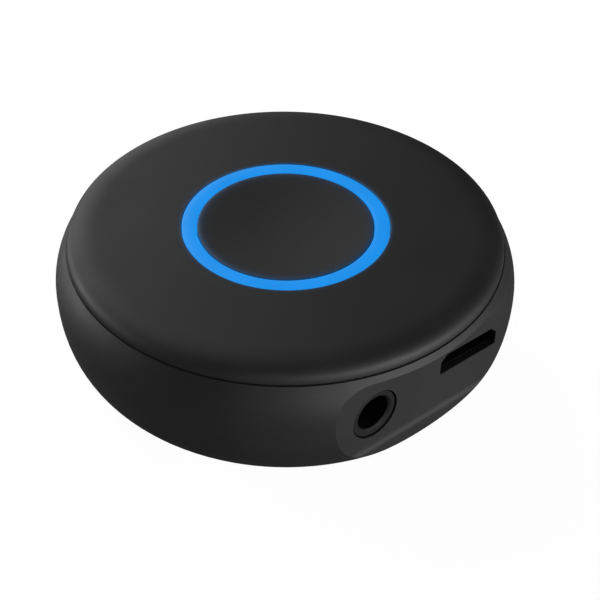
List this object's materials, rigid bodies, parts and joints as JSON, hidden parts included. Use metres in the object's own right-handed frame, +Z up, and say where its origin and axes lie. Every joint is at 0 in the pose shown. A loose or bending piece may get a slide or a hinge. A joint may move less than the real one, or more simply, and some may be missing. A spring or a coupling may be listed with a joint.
{
  "type": "bluetooth audio receiver",
  "caption": "Round puck-shaped wireless audio receiver with a glowing ring around a dished push button, and a 3.5 mm jack and USB micro-B socket in a flat on its side.",
  "frame": {"origin": "centre of the rubber foot's underside, on the axis of the round body", "axes": "+Z up through the light ring; the port flat faces -Y, with the 3.5 mm jack at -X and the USB micro-B socket at +X"},
  "size_m": [0.045, 0.0441, 0.015],
  "materials": {
    "shell_plastic": "fine matt texture",
    "cover_plastic": "fine matt texture",
    "button_plastic": "fine matt texture",
    "diffuser": "translucent satin, lit from below",
    "inner_plastic": "moulded, white",
    "foot_rubber": "matt",
    "board": "solder mask",
    "steel": "plated sheet",
    "gold_plate": "gold flash",
    "connector_plastic": "moulded, black",
    "chip_black": "moulded, with tinned leads",
    "ceramic": "fired",
    "capacitor_brown": "fired, tinned ends",
    "capacitor_yellow": "moulded",
    "led": "clear lens on a white base",
    "pouch": "laminated foil",
    "tape": "double-sided foam",
    "guard_board": "solder mask",
    "lead_red": "soft sleeve",
    "lead_black": "soft sleeve"
  },
  "bodies": {
    "case": {"bottom_shell": "shell_plastic", "top_cover": "cover_plastic", "rubber_foot": "foot_rubber", "light_ring": "diffuser", "ring_retainer": "inner_plastic", "switch_base": "connector_plastic", "switch_frame": "steel", "switch_dome": "steel", "switch_terminals": "steel", "main_board": "board", "board_screws": "steel", "ring_leds": "led", "bluetooth_chip": "chip_black", "charger_chip": "chip_black", "crystal": "steel", "chip_antenna": "ceramic", "power_inductor": "chip_black", "audio_capacitors": "capacitor_yellow", "chip_capacitors": "capacitor_brown", "chip_resistors": "chip_black", "audio_jack_housing": "connector_plastic", "jack_sleeve_spring": "gold_plate", "jack_ring_spring": "gold_plate", "jack_tip_spring": "gold_plate", "usb_shell": "steel", "usb_tongue": "connector_plastic", "usb_contacts": "gold_plate", "battery_cell": "pouch", "battery_tape": "tape", "battery_protection_board": "guard_board", "battery_lead_red": "lead_red", "battery_lead_black": "lead_black"},
    "button": {"button_cap": "button_plastic"},
    "plunger": {"switch_plunger": "connector_plastic"}
  },
  "joints": [
    {"name": "button_press", "type": "slide", "parent": "case", "child": "button", "axis": [0, 0, -1], "range_m": [0, 0.00025], "stiffness_N_per_m": 500, "springref_m": -0.001},
    {"name": "plunger_press", "type": "slide", "parent": "case", "child": "plunger", "axis": [0, 0, -1], "range_m": [0, 0.00025], "deforming": ["switch_dome"]}
  ],
  "couplings": [
    {"joint": "plunger_press", "follows": "button_press", "ratio": 1}
  ]
}
